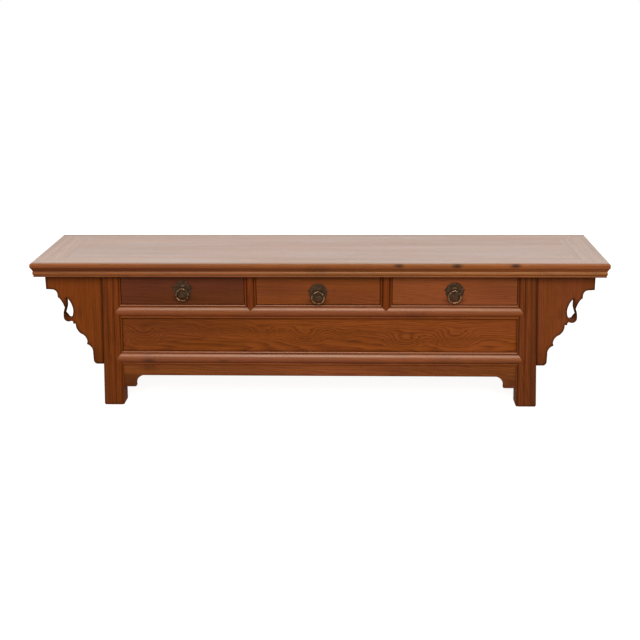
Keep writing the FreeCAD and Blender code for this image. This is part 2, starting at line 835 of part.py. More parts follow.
def drawer_back(left, right, grow):
    x = (left + drawer_wall - back_housing, right - drawer_wall + back_housing)
    y1 = drawer_end - drawer_wall
    z = (bottom_z[1] + joint_gap, side_z[1] - drawer_back_lowering)
    return block(x, (y1 - drawer_wall, y1), z, grow)


def drawer_front(bay, left, right, hole):
    """Drawer front whose ends follow the bay, with a rounded edge and sockets for the tails."""
    ends = [(bay[0](z) + drawer_side_gap, bay[1](z) - drawer_side_gap) for z in front_z]
    corners = [(ends[0][0], front_z[0]), (ends[0][1], front_z[0])]
    corners += [(ends[1][1], front_z[1]), (ends[1][0], front_z[1])]
    board = upright(corners, front_y)
    rim = [edge for edge in board.Edges if edge.BoundBox.YMax < front_y[0] + joint_gap]
    board = board.makeFillet(front_edge_round, rim)
    left_sockets = tails((ends[0][0], left + drawer_wall), joint_gap)
    right_sockets = tails((right - drawer_wall, ends[0][1]), joint_gap)
    return board.cut(left_sockets + right_sockets + [drawer_bottom(left, right, joint_gap), hole])


def drawer_side(x, left, right):
    body = block(x, (front_y[1] + joint_gap, drawer_end), side_z)
    body = body.fuse(tails(x, 0)).removeSplitter()
    return body.cut([drawer_bottom(left, right, joint_gap), drawer_back(left, right, joint_gap)])


# Ring pulls: back plate, split-pin eye clinched inside the front, and a free ring

plate_front = front_y[0] - plate_thickness
eye_y = plate_front - plate_boss_height - hole_gap - eye_radius - eye_wire / 2


def pull_hole(x, z):
    radius = eye_stem / 2 + hole_gap
    return Part.makeCylinder(radius, front_y[1] - eye_y, V(x, eye_y, z), V(0, 1, 0))


def pull_plate(x, z):
    """Round plate with a rounded rim, its middle below the eye, and a low boss round the eye's hole."""
    def turned(steps, middle):
        wire = path(lambda out, forward: V(x + out, front_y[0] - forward, middle), (0, 0), steps)
        return Part.Face(wire).revolve(V(x, 0, middle), V(0, 1, 0), 360)

    rim = [
        ((plate_radius, 0),),
        ((plate_radius - plate_rim * 0.3, plate_thickness - plate_rim * 0.3),
         (plate_radius - plate_rim, plate_thickness)),
        ((0, plate_thickness),),
    ]
    boss = [
        ((plate_boss_radius, 0),),
        ((plate_boss_radius, plate_thickness),),
        ((plate_boss_radius * 0.75, plate_thickness + plate_boss_height * 0.8),
         (plate_boss_radius * 0.5, plate_thickness + plate_boss_height)),
        ((0, plate_thickness + plate_boss_height),),
    ]
    plate = turned(rim, z - plate_drop).fuse(turned(boss, z)).removeSplitter()
    return plate.cut(pull_hole(x, z))


def pull_eye(x, z):
    loop = Part.makeTorus(eye_radius, eye_wire / 2, V(x, eye_y, z), V(1, 0, 0))
    start = eye_y + eye_radius
    half = eye_stem / 2
    length = front_y[1] + eye_tail_thickness - start
    stem = Part.makeCylinder(half, length, V(x, start, z), V(0, 1, 0))
    tail_y = (front_y[1] + joint_gap, front_y[1] + joint_gap + eye_tail_thickness)
    clinch = block((x - half, x + half), tail_y, (z - eye_tail_length, z + eye_tail_length))
    return loop.fuse([stem, clinch]).removeSplitter()


def pull_ring(x, z):
    drop = eye_radius - eye_wire / 2 - ring_wire / 2 - ring_seat_gap
    centre = V(x, eye_y, z - drop - ring_radius)
    return Part.makeTorus(ring_radius, ring_wire / 2, centre, V(0, 1, 0))


def post_face(x):
    return lambda z: x


half_divider = divider_width / 2
bays = {
    "left": (lambda z: -inner_edge(z), post_face(-divider_x - half_divider)),
    "centre": (post_face(-divider_x + half_divider), post_face(divider_x - half_divider)),
    "right": (post_face(divider_x + half_divider), inner_edge),
}
for (side, bay), pull_drop in zip(bays.items(), pull_drops):
    left = bay[0](underside) + drawer_side_gap
    right = bay[1](underside) - drawer_side_gap
    pull_x = (left + right) / 2
    pull_z = underside - pull_drop
    prefix = side + "_drawer_"
    hole = pull_hole(pull_x, pull_z)
    pieces[prefix + "front"] = drawer_front(bay, left, right, hole)
    pieces[prefix + "left_side"] = drawer_side((left, left + drawer_wall), left, right)
    pieces[prefix + "right_side"] = drawer_side((right - drawer_wall, right), left, right)
    pieces[prefix + "back"] = drawer_back(left, right, 0)
    pieces[prefix + "bottom"] = drawer_bottom(left, right, 0)
    pieces[side + "_pull_plate"] = pull_plate(pull_x, pull_z)
    pieces[side + "_pull_eye"] = pull_eye(pull_x, pull_z)
    pieces[side + "_pull_ring"] = pull_ring(pull_x, pull_z)


os.makedirs("parts", exist_ok=True)
for name, shape in pieces.items():
    shape.exportStep("parts/" + name + ".step")
    print(name, len(shape.Solids), shape.isValid(), round(shape.Volume))
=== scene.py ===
import math

import bpy
import numpy as np
from mathutils import Matrix, geometry


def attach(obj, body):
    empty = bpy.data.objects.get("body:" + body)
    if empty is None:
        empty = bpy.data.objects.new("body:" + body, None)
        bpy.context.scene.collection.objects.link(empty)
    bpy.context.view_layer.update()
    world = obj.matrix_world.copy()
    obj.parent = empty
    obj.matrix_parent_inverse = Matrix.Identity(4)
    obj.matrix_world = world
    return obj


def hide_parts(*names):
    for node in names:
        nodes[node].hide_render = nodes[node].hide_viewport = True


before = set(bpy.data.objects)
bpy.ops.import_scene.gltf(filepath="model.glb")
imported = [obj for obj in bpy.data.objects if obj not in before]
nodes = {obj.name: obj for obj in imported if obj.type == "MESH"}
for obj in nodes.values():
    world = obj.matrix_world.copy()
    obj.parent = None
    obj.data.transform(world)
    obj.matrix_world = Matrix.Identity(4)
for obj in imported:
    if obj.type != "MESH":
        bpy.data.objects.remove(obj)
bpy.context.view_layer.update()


# Legs: four posts of elm that splay outwards. Down each face run a bead, two crowned strips and a
# broad outer bead. Their feet are worn round, their heads are tenoned up into the top, and the
# rails are mitred into them.

def linear(code):
    """sRGB hex as linear RGBA: a channel c is c / 12.92 up to 0.04045, and above that it is
    ((c + 0.055) / 1.055) ^ 2.4."""
    srgb = np.array([int(code[i:i + 2], 16) for i in (1, 3, 5)]) / 255
    rgb = np.where(srgb <= 0.04045, srgb / 12.92, ((srgb + 0.055) / 1.055) ** 2.4)
    return (*rgb.tolist(), 1.0)


def put(tree, kind, feeds=None, stops=(), take=0, **settings):
    """Adds one node and gives its first output, or the one that take names. Feeds are its inputs,
    each a value or another node's output, and stops are a ramp's places and colours."""
    node = tree.nodes.new("ShaderNode" + kind)
    for name, value in settings.items():
        setattr(node, name, value)
    for socket, source in (feeds or {}).items():
        if isinstance(source, bpy.types.NodeSocket):
            tree.links.new(source, node.inputs[socket])
        else:
            node.inputs[socket].default_value = source
    for index, (position, code) in enumerate(stops):
        if index >= len(node.color_ramp.elements):
            node.color_ramp.elements.new(1.0)
        node.color_ramp.elements[index].position = position
        node.color_ramp.elements[index].color = linear(code)
    return node.outputs[take] if len(node.outputs) else None


def empty_material(name):
    """A material whose node tree is still empty."""
    material = bpy.data.materials.new(name)
    material.use_nodes = True
    material.node_tree.nodes.clear()
    return material


def dress(node, material):
    """Gives a CAD node's object its material."""
    nodes[node].material_slots[0].material = material


def lacquered_elm(name, grain, heart, seed, tones, eyes=(), shine=0.1, gloss=0.4, bands=0.08,
                  deepest_painted_shade=0.5, rim_shade_reach=None, rubbed_above=None, over=None):
    """Plain-sawn elm with a red-brown stain, wiped with thin satin lacquer. The eye sees soft rings
    that arch where the saw ran near the heart, dark pores drawn out along the grain, painted shade
    with dark lacquer in the hollows and under parts that stand over the wood, and paler, rubbed
    arrises. Ring number = (distance from the heart line, bent by slow noise, leaning along the
    grain and frayed by fine noise, plus a swelling round each eye) / ring width. The heart line
    lies at (y, z) for grain along X, (-x, z) for Y and (y, -x) for Z. Tones are a ring's light,
    middle and dark, and an eye is (x, y, z, width, swelling, shade). Shine and gloss are the
    lacquer's reflection and roughness, bands the contrast of the broad bands, and
    deepest_painted_shade the painted shade of the deepest hollows. Within rim_shade_reach of a sawn
    edge, painted shade with dark lacquer darkens the wood. A cloth reaches down to rubbed_above,
    and over is a function that lays one more coat on the shader."""
    ring_width = 0.0045
    bend = 0.03
    taper = 0.03
    fray = 0.006
    drawn_out = 0.45
    material = empty_material(name)
    tree = material.node_tree
    place = put(tree, "TexCoord", take="Object")
    turn = {"X": (0, 0, 0), "Y": (0, 0, -math.pi / 2), "Z": (0, math.pi / 2, 0)}[grain]
    shift = (seed * 1.73, -heart[0] - bend / 2, -heart[1] - bend / 2)
    board = put(tree, "Mapping", {0: place, "Location": shift, "Rotation": turn})

    # waves of half a metre along the grain and 80 mm across bend the rings by up to 15 mm
    slow = put(tree, "VectorMath", {0: board, 1: (2.2, 12, 12)}, operation="MULTIPLY")
    wander = put(tree, "TexNoise", {"Vector": slow, "Scale": 1.0, "Detail": 2.0})
    bent = put(tree, "VectorMath", {0: wander.node.outputs["Color"], 1: (0, bend, bend), 2: board},
               operation="MULTIPLY_ADD")
    across = put(tree, "VectorMath", {0: bent, 1: (0, 1, 1)}, operation="MULTIPLY")
    radius = put(tree, "VectorMath", {0: across}, take="Value", operation="LENGTH")
    lean = put(tree, "VectorMath", {0: board, 1: (taper, 0, 0)}, take="Value",
               operation="DOT_PRODUCT")
    radius = put(tree, "Math", {0: radius, 1: lean}, operation="ADD")
    # streaks of 4 mm by 200 mm fray the rings
    fine = put(tree, "VectorMath", {0: board, 1: (5, 250, 250)}, operation="MULTIPLY")
    streak = put(tree, "TexNoise", {"Vector": fine, "Scale": 1.0, "Detail": 3.0})
    radius = put(tree, "Math", {0: streak, 1: fray, 2: radius}, operation="MULTIPLY_ADD")
    factor = 1.0
    for x, y, z, width, swelling, shade in eyes:
        squeeze = [1 / width] * 3
        squeeze["XYZ".index(grain)] *= drawn_out
        off = put(tree, "VectorMath", {0: place, 1: (x, y, z)}, operation="SUBTRACT")
        off = put(tree, "VectorMath", {0: off, 1: squeeze}, operation="MULTIPLY")
        far = put(tree, "VectorMath", {0: off}, take="Value", operation="LENGTH")
        near = put(tree, "MapRange", {"Value": far, "To Min": 1.0, "To Max": 0.0},
                   interpolation_type="SMOOTHERSTEP")
        radius = put(tree, "Math", {0: near, 1: swelling, 2: radius}, operation="MULTIPLY_ADD")
        mark = put(tree, "Math", {0: near, 1: shade - 1, 2: 1.0}, operation="MULTIPLY_ADD")
        factor = put(tree, "Math", {0: factor, 1: mark}, operation="MULTIPLY")

    rings = put(tree, "Math", {0: radius, 1: ring_width}, operation="DIVIDE")
    ring = put(tree, "Math", {0: rings}, operation="FRACT")
    light, mid, dark = tones
    colour = put(tree, "ValToRGB", {0: ring}, [(0, light), (0.45, mid), (0.78, dark), (1, light)])
    year = put(tree, "TexNoise", {"W": rings, "Scale": 0.45}, noise_dimensions="1D")

    # bands 17 mm by 600 mm, blotches of the stain 110 mm by 400 mm, and pores drawn at 1 mm by
    # 25 mm so that they show
    long = put(tree, "VectorMath", {0: board, 1: (1.6, 60, 60)}, operation="MULTIPLY")
    band = put(tree, "TexNoise", {"Vector": long, "Scale": 1.0, "Detail": 1.0})
    broad = put(tree, "VectorMath", {0: board, 1: (2.5, 9, 9)}, operation="MULTIPLY")
    blotch = put(tree, "TexNoise", {"Vector": broad, "Scale": 1.0, "Detail": 2.0})
    thin = put(tree, "VectorMath", {0: board, 1: (40, 1000, 1000)}, operation="MULTIPLY")
    speck = put(tree, "TexNoise", {"Vector": thin, "Scale": 1.0, "Detail": 0.0})
    pore = put(tree, "MapRange", {"Value": speck, "From Min": 0.58, "From Max": 0.70})
    # painted shade with dark lacquer: the wood darkens where other surfaces close in within 11 mm
    hollow_shade = put(tree, "AmbientOcclusion", {"Distance": 0.011}, take="AO", samples=8)

    # each of these from one value to another shades the wood from one factor to another
    # the last is painted shade with dark lacquer in the hollows
    shades = [(year, 0.3, 0.7, 0.95, 1.05), (streak, 0.3, 0.7, 0.93, 1.07),
              (band, 0.3, 0.7, 1 - bands, 1 + bands), (blotch, 0.3, 0.7, 0.90, 1.10),
              (pore, 0, 1, 1.0, 0.84), (hollow_shade, 0.35, 1.0, deepest_painted_shade, 1.02)]
    if rim_shade_reach is not None:
        # painted shade with dark lacquer along each sawn edge
        # seen from inside the wood, a sawn edge closes part of the view
        rim = put(tree, "AmbientOcclusion", {"Distance": rim_shade_reach}, take="AO", samples=8,
                  inside=True)
        shades.append((rim, 0.6, 0.97, 0.34, 1.0))
    for source, low, high, least, most in shades:
        share = put(tree, "MapRange", {"Value": source, "From Min": low, "From Max": high,
                                       "To Min": least, "To Max": most})
        factor = put(tree, "Math", {0: factor, 1: share}, operation="MULTIPLY")
    stained_and_shaded = put(tree, "VectorMath", {0: colour, "Scale": factor}, operation="SCALE")
    # the stain took yellower in some places and redder in others
    redder = put(tree, "MapRange", {"Value": wander, "From Min": 0.35, "From Max": 0.65})
    hue = put(tree, "Mix", {"Factor": redder, "A": (0.98, 1.02, 1.0, 1), "B": (1.01, 1.0, 1.5, 1)},
              take="Result", data_type="RGBA")
    stained_and_shaded = put(tree, "VectorMath", {0: stained_and_shaded, 1: hue}, operation="MULTIPLY")

    # an arris is where a 2 mm rounding would turn the surface; it is rubbed unevenly, and not in
    # the hollows
    soft = put(tree, "Bevel", {"Radius": 0.002}, samples=4)
    flat = put(tree, "NewGeometry", take="Normal")
    same = put(tree, "VectorMath", {0: soft, 1: flat}, take="Value", operation="DOT_PRODUCT")
    rub = put(tree, "MapRange", {"Value": same, "From Min": 0.99, "From Max": 0.80})
    handled = put(tree, "MapRange", {"Value": blotch, "From Min": 0.4, "From Max": 0.65})
    for share in (handled, hollow_shade, 0.4):
        rub = put(tree, "Math", {0: rub, 1: share}, operation="MULTIPLY")
    worn = put(tree, "Mix", {"Factor": rub, "A": stained_and_shaded, "B": linear("#A8673A")},
               take="Result", data_type="RGBA")

    rough = put(tree, "MapRange", {"Value": blotch, "From Min": 0.3, "From Max": 0.7,
                                   "To Min": gloss - 0.06, "To Max": gloss + 0.06})
    planed = put(tree, "Bump", {"Strength": 0.35, "Distance": 0.0015, "Height": blotch})
    pitted = put(tree, "Bump", {"Strength": 0.2, "Distance": 0.0002, "Height": pore,
                                "Normal": planed}, invert=True)
    # nobody rubs the faces that look down or sideways, the hollows or the lower beads, so their
    # lacquer stays dull
    facing = put(tree, "SeparateXYZ", {0: flat}).node.outputs
    gleam = put(tree, "MapRange", {"Value": facing["Z"], "From Min": -0.4, "From Max": 0.3,
                                   "To Min": 0.2})
    sideways = put(tree, "Math", {0: facing["X"]}, operation="ABSOLUTE")
    reached = put(tree, "MapRange", {"Value": sideways, "From Min": 0.4, "From Max": 0.9,
                                     "To Min": 1.0, "To Max": 0.05})
    dulling = [hollow_shade, reached, shine]
    if rubbed_above is not None:
        height = put(tree, "SeparateXYZ", {0: place}, take="Z")
        dulling.append(put(tree, "MapRange", {"Value": height, "From Min": rubbed_above - 0.001,
                                              "From Max": rubbed_above + 0.002, "To Min": 0.15}))
    for share in dulling:
        gleam = put(tree, "Math", {0: gleam, 1: share}, operation="MULTIPLY")
    shader = put(tree, "BsdfPrincipled", {
        "Base Color": worn, "Roughness": rough, "IOR": 1.5, "Specular IOR Level": gleam,
        "Specular Tint": linear("#FFE8CC"), "Normal": pitted})
    if over is not None:
        over(tree, shader.node, place, worn, band)
    put(tree, "OutputMaterial", {"Surface": shader})
    return material


leg_tones = {"left": ("#6F350F", "#69310D", "#5D2B0A"), "right": ("#693411", "#63300F", "#57290C")}
for index, (side, end) in enumerate((("left", "front"), ("right", "front"),
                                     ("left", "back"), ("right", "back"))):
    leg = f"{side}_{end}_leg"
    outward = -1 if side == "left" else 1
    facing = -1 if end == "front" else 1
    heart = (facing * 0.07, -outward * (0.60 + 0.01 * index))
    dress(leg, lacquered_elm("elm_" + leg, "Z", heart, index + 1, leg_tones[side], bands=0.18))


# Front rails and dividers: elm planed to a roll between two beads. Each rail's end and each
# divider's foot is a point that is mitred into the next member and held by a tenon behind it. A
# few small knots darken the rails.
rail_tones = ("#7C3D16", "#763913", "#6A3210")
rail_face = -0.184
upper_knots = [(0.312, rail_face, 0.316, 0.030, 0.010, 0.80)]
lower_knots = [(-0.556, rail_face, 0.154, 0.017, 0.012, 0.50),
               (-0.311, rail_face, 0.155, 0.014, 0.006, 0.72),
               (0.403, rail_face, 0.153, 0.040, 0.010, 0.84)]
for rail, heart, seed, knots, shine, bead in (
        ("front_upper_rail", (-0.08, 0.24), 5, upper_knots, 0.60, 0.3057),
        ("front_lower_rail", (-0.08, 0.09), 6, lower_knots, 0.69, 0.1469)):
    dress(rail, lacquered_elm("elm_" + rail, "X", heart, seed, rail_tones, knots, shine=shine,
                              gloss=0.36, rubbed_above=bead))
divider_tones = ("#6E330F", "#682F0D", "#5C290A")
for divider, x, seed in (("left_divider", -0.2179, 7), ("right_divider", 0.2179, 8)):
    heart = (-0.08, -x - 0.06)
    dress(divider, lacquered_elm("elm_" + divider, "Z", heart, seed, divider_tones))


# Front panel: one wide, thin board of figured elm that floats in the grooves of rails and legs. It
# was sawn near the heart, so its rings close round buds and small branches in a row of dark eyes.
panel_face = -0.1725
panel_eyes = [(-0.575, panel_face, 0.240, 0.044, 0.020, 0.90),
              (-0.360, panel_face, 0.254, 0.032, 0.008, 0.97),
              (-0.183, panel_face, 0.250, 0.036, 0.013, 0.94),
              (-0.046, panel_face, 0.240, 0.042, 0.018, 0.93),
              (0.078, panel_face, 0.247, 0.030, 0.009, 0.96),
              (0.277, panel_face, 0.224, 0.040, 0.015, 0.95),
              (0.443, panel_face, 0.234, 0.046, 0.020, 0.90),
              (-0.480, panel_face, 0.245, 0.200, 0.0, 0.80),
              (-0.020, panel_face, 0.245, 0.140, 0.0, 0.88)]
panel_tones = ("#824116", "#793B12", "#622D0D")
dress("front_panel", lacquered_elm("elm_front_panel", "X", (-0.115, 0.195), 9, panel_tones,
                                   panel_eyes))


# Apron: a thin elm strip in a groove under the lower rail, with a dropped end against each leg. Its
# outline was sawn and its lower arris eased by hand.

def outline(start, steps):
    """Closed outline from a start point. A step of one point is a straight line, and a step of two
    is the arc of the circle through the last point and both: its centre solves two equal-distance
    equations, and its points are spread evenly over the angle that passes the middle point."""
    share = np.linspace(0, 1, 15)[1:]
    runs = [np.array([start], float)]
    for step in steps:
        a, b = runs[-1][-1], np.array(step[-1], float)
        if len(step) == 1:
            runs.append(b[None])
            continue
        m = np.array(step[0], float)
        centre = np.linalg.solve(2 * np.array([m - a, b - a]), [m @ m - a @ a, b @ b - a @ a])
        angles = [math.atan2(*(p - centre)[::-1]) for p in (a, m, b)]
        sweep = (angles[2] - angles[0]) % (2 * math.pi)
        if (angles[1] - angles[0]) % (2 * math.pi) > sweep:
            sweep -= 2 * math.pi
        t = angles[0] + sweep * share
        runs.append(centre + math.dist(a, centre) * np.stack([np.cos(t), np.sin(t)], 1))
    points = np.concatenate(runs)
    return points[:-1] if np.allclose(points[0], points[-1]) else points


def grid(rows, columns, closed_rows, closed_columns):
    """Quads between the points of a grid that is stored row by row, joined end to end where it is
    closed."""
    row, column = np.meshgrid(np.arange(rows - (not closed_rows)),
                              np.arange(columns - (not closed_columns)), indexing="ij")
    below, beside = (row + 1) % rows, (column + 1) % columns
    return np.stack([row * columns + column, row * columns + beside,
                     below * columns + beside, below * columns + column], 2).reshape(-1, 4)


def eased_board(loops, y, easing):
    """A sawn board between two values of y, from its outline (anticlockwise from the front) and
    any holes (clockwise). Each loop is carried back along a profile: a quarter circle of the front
    easing, the straight edge, and a quarter circle of the back easing, each point moved in along
    the mean of its two edges' normals. Both faces are the moved-in loops, filled with triangles."""
    turn = np.linspace(0, math.pi / 2, 5)
    inward = np.concatenate([easing[0] * (1 - np.sin(turn)), easing[1] * (1 - np.cos(turn))])
    depth = np.concatenate([y[0] + easing[0] * (1 - np.cos(turn)),
                            y[1] - easing[1] * (1 - np.sin(turn))])
    rows, points, quads, first, caps = len(depth), [], [], 0, []
    for loop in loops:
        count = len(loop)
        ahead = np.roll(loop, -1, 0) - loop
        normal = np.stack([-ahead[:, 1], ahead[:, 0]], 1) / np.linalg.norm(ahead, axis=1)[:, None]
        before = np.roll(normal, 1, 0)
        lean = (normal + before) / np.maximum(1 + (normal * before).sum(1), 0.5)[:, None]
        moved = loop[None] + inward[:, None, None] * lean[None]
        back = np.broadcast_to(depth[:, None], (rows, count))
        points.append(np.stack([moved[..., 0], back, moved[..., 1]], 2).reshape(-1, 3))
        quads.append(first + grid(rows, count, False, True)[:, [0, 3, 2, 1]])
        rim = first + np.arange(count)
        caps.append((rim, rim + (rows - 1) * count, moved[0], moved[-1]))
        first += rows * count
    ends = np.cumsum([0] + [len(loop) for loop in loops])
    rims = [list(range(a, b)) for a, b in zip(ends[:-1], ends[1:])]
    triangles = []
    for side in (0, 1):
        index = np.concatenate([cap[side] for cap in caps])
        flat = np.concatenate([cap[2 + side] for cap in caps])
        filled = np.array(geometry.delaunay_2d_cdt(flat.tolist(), [], rims, 2, 1e-7)[2])
        triangles.append(index[filled if side == 0 else filled[:, ::-1]])
    return np.concatenate(points), [np.concatenate(quads), np.concatenate(triangles)]


def show(name, points, faces, material, body, slot, *replaced):
    """Makes a smooth-shaded piece from points in metres and arrays of faces, ties it to its CAD
    body and hides the CAD nodes that it stands for."""
    mesh = bpy.data.meshes.new(name)
    mesh.from_pydata(points.tolist(), [], [face for array in faces for face in array.tolist()])
    mesh.polygons.foreach_set("use_smooth", np.ones(len(mesh.polygons), bool))
    mesh.materials.append(material)
    piece = bpy.data.objects.new(name, mesh)
    bpy.context.scene.collection.objects.link(piece)
    piece.modifiers.new("even_shading", "WEIGHTED_NORMAL").weight = 50
    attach(piece, body)
    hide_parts(*replaced)


right_half = [((0.5801, 0.1014),), ((0.59594, 0.09105), (0.6021, 0.0669)),
              ((0.6036, 0.0634), (0.6071, 0.0619)), ((0.6496, 0.0619),), ((0.6477, 0.1459),)]
left_half = [((-0.6477, 0.1459),), ((-0.6496, 0.0619),), ((-0.6071, 0.0619),),
             ((-0.6036, 0.0634), (-0.6021, 0.0669)), ((-0.59594, 0.09105), (-0.5801, 0.1014))]
apron_face, apron_back = -0.176, -0.162
apron_tones = ("#79401B", "#733C18", "#663314")
# a knot, and both dropped ends darker, the left one most
apron_knot_and_dark_ends = [(-0.557, apron_face, 0.130, 0.022, 0.010, 0.70),
               (-0.640, apron_face, 0.075, 0.055, 0.0, 0.50),
               (0.640, apron_face, 0.070, 0.050, 0.0, 0.75)]
apron_elm = lacquered_elm("elm_apron", "X", (-0.13, 0.09), 10, apron_tones, apron_knot_and_dark_ends, bands=0.12)
apron_loop = outline((-0.5801, 0.1014), right_half + left_half)
show("eased_apron", *eased_board([apron_loop], (apron_face, apron_back), (0.002, 0.001)),
     apron_elm, "carcass", "lacquered_elm_frame", "front_apron")


# Sides and back: plain elm rails tenoned between the legs, with thin panels in their grooves. They
# are seen least, and their stain is a little duller than the front's.
side_tones = ("#6E391B", "#683518", "#5A2C14")
for index, (side, across) in enumerate((("left", -0.667), ("right", 0.667))):
    for part, heart, seed in (("upper_rail", (-across, 0.36), 12),
                              ("panel", (-across * 0.94, 0.30), 13),
                              ("lower_rail", (-across, 0.10), 12)):
        node = f"{side}_side_{part}"
        dress(node, lacquered_elm("elm_" + node, "Y", heart, seed + 3 * index, side_tones))
for node, heart, seed in (("back_lower_rail", (0.10, 0.12), 17), ("back_panel", (0.145, 0.31), 18)):
    dress(node, lacquered_elm("elm_" + node, "X", heart, seed, side_tones))


# Spandrels: elm boards sawn to a carver's pattern of coves, a curl and an ogee, pierced with a
# comma, and tongued into the leg and the top. Their arrises are eased with a knife, and painted
# shade with dark lacquer darkens the wood along them. The pattern is in mm, outwards from the leg's
# head and down from the top.
curl_outline = [
    ((186.0, 48.5),), ((167.0, 49.5),), ((155.0, 54.5), (150.5, 67.0)), ((149.5, 77.0),),
    ((146.0, 78.0),), ((134.0, 98.0), (129.8, 111.0)), ((134.3, 125.0), (135.5, 139.5)),
    ((131.8, 152.3), (122.5, 157.5)), ((116.0, 157.0), (110.0, 155.0)), ((106.2, 158.0),),
    ((105.5, 165.0),), ((98.0, 164.8),), ((94.4, 184.0), (83.0, 198.3)),
    ((69.0, 209.0), (63.4, 225.0)), ((65.8, 234.5),), ((51.5, 245.0), (47.3, 262.0)),
    ((46.7, 288.0),), ((43.5, 297.5), (35.5, 302.0)), ((12.81, 302.0),), ((0.15, 0),),
]
comma = [
    ((121.5, 91.0), (122.0, 105.0)), ((125.0, 116.0), (129.5, 128.5)),
    ((124.6, 134.0), (120.0, 141.5)), ((113.5, 143.8), (106.0, 136.5)),
    ((102.8, 120.0), (105.8, 102.6)), ((112.2, 88.2), (123.0, 76.0)),
]
pattern = [outline((186.0, 0), curl_outline), outline((123.0, 76.0), comma)]
leg_head, under_top, stretch = 694, 442.85, 1.00364
spandrel_tones = {"left": ("#743710", "#6F340E", "#632D0C"),
                  "right": ("#763A18", "#713716", "#643012")}
for side, sign, seed in (("left", -1, 20), ("right", 1, 22)):
    loops = []
    for loop, anticlockwise in zip(pattern, (True, False)):
        x, z = sign * (leg_head + loop[:, 0]), under_top - loop[:, 1] * stretch
        area = (x * np.roll(z, -1) - z * np.roll(x, -1)).sum()
        placed = np.stack([x, z], 1) / 1000
        loops.append(placed if (area > 0) == anticlockwise else placed[::-1])
    for end, y, easing in (("front", (-0.173, -0.155), (0.0016, 0.0008)),
                           ("back", (0.155, 0.173), (0.0008, 0.0016))):
        node = f"{side}_{end}_spandrel"
        # darker on the curl, beside the comma and on the toe
        darker_patches = [(sign * 0.826, y[0], 0.322, 0.024, 0.0, 0.56),
                (sign * 0.776, y[0], 0.316, 0.018, 0.0, 0.80),
                (sign * 0.730, y[0], 0.150, 0.045, 0.0, 0.78)]
        spandrel_elm = lacquered_elm("elm_" + node, "Z", (y[0] + 0.10, -sign * 0.60),
                                     seed + (end == "back"), spandrel_tones[side], darker_patches,
                                     rim_shade_reach=0.011)
        show("carved_" + node, *eased_board(loops, y, easing), spandrel_elm, "carcass",
             "lacquered_elm_frame", node)


# Top: two floating elm boards in a mitred frame. The frame's edge is moulded with band, cove, roll
# and bead. The upper face is rubbed and waxed to a clear gloss, so at a low angle it shows mostly
# the pale room.

def wax(tree, shader, place, worn, band):
    """Wax on the upper face gives a clear gloss, thickest to the front, thinned by hands along the
    edges and streaked with the broad bands of the wood. The wood under it is lightened as
    sun-bleached wood and in part as painted reflection, and the roll and the upper part of the
    upright band are lightened as painted highlight, a quarter as much at the left and half as much
    at the right. At the left the cove between them and the groove under the roll are darkened with
    painted shade. Level = height in the moulding from 0 to 1, less a small share to the right, so
    that the painted bands lie a little higher there."""
    waxed_above = 0.4885
    moulding = 0.044
    part = put(tree, "SeparateXYZ", {0: place}).node.outputs
    coat = put(tree, "MapRange", {"Value": part["Z"], "From Min": waxed_above,
                                  "From Max": waxed_above + 0.0005})
    aside = put(tree, "MapRange", {"Value": part["X"], "From Min": -0.6, "From Max": 0.7})
    level = put(tree, "MapRange", {"Value": part["Z"], "From Min": waxed_above - moulding,
                                   "From Max": waxed_above})
    level = put(tree, "Math", {0: aside, 1: -0.08, 2: level}, operation="MULTIPLY_ADD")
    # painted highlight: the roll and the upper part of the band are lightened, more to the right
    bleach_and_painted_highlight = put(tree, "ValToRGB", {0: level}, [
        (0.11, "#000000"), (0.17, "#989898"), (0.27, "#989898"), (0.42, "#000000"),
        (0.74, "#000000"), (0.94, "#8C8C8C")])
    reach = put(tree, "MapRange", {"Value": aside, "To Min": 0.8, "To Max": 1.7})
    bleach_and_painted_highlight = put(tree, "Math", {0: bleach_and_painted_highlight, 1: reach}, operation="MULTIPLY")
    # the waxed face is lightened fully, as sun-bleached wood and in part as painted reflection
    bleach_and_painted_highlight = put(tree, "Math", {0: bleach_and_painted_highlight, 1: coat}, operation="MAXIMUM")
    # painted shade in the cove and in the groove under the roll, strongest at the left
    sunk = put(tree, "ValToRGB", {0: level}, [
        (0.05, "#000000"), (0.09, "#FFFFFF"), (0.14, "#FFFFFF"), (0.18, "#000000"),
        (0.27, "#000000"), (0.40, "#FFFFFF"), (0.70, "#FFFFFF"), (0.82, "#000000")])
    painted_cove_shade = put(tree, "MapRange", {"Value": aside, "From Max": 0.75, "To Min": 0.6, "To Max": 0.0})
    painted_cove_shade = put(tree, "Math", {0: sunk, 1: painted_cove_shade}, operation="MULTIPLY")
    stained_and_shaded = put(tree, "Mix", {"Factor": painted_cove_shade, "A": worn, "B": linear("#4A1A04")},
                  take="Result", data_type="RGBA")
    lightened_colour = put(tree, "VectorMath", {0: stained_and_shaded, 1: (1.65, 2.3, 2.4)}, operation="MULTIPLY")
    lightened_colour = put(tree, "Mix", {"Factor": bleach_and_painted_highlight, "A": stained_and_shaded, "B": lightened_colour},
                take="Result", data_type="RGBA")
    edge = put(tree, "Math", {0: part["Y"]}, operation="ABSOLUTE")
    for source, low, high, least, most in (
            (part["Y"], -0.2, 0.2, 0.98, 0.74), (edge, 0.192, 0.208, 1.0, 0.05),
            (band, 0.3, 0.7, 0.78, 1.10)):
        share = put(tree, "MapRange", {"Value": source, "From Min": low, "From Max": high,
                                       "To Min": least, "To Max": most})
        coat = put(tree, "Math", {0: coat, 1: share}, operation="MULTIPLY")
    tree.links.new(lightened_colour, shader.inputs["Base Color"])
    tree.links.new(coat, shader.inputs["Coat Weight"])
    shader.inputs["Coat Roughness"].default_value = 0.24
    shader.inputs["Coat IOR"].default_value = 1.5


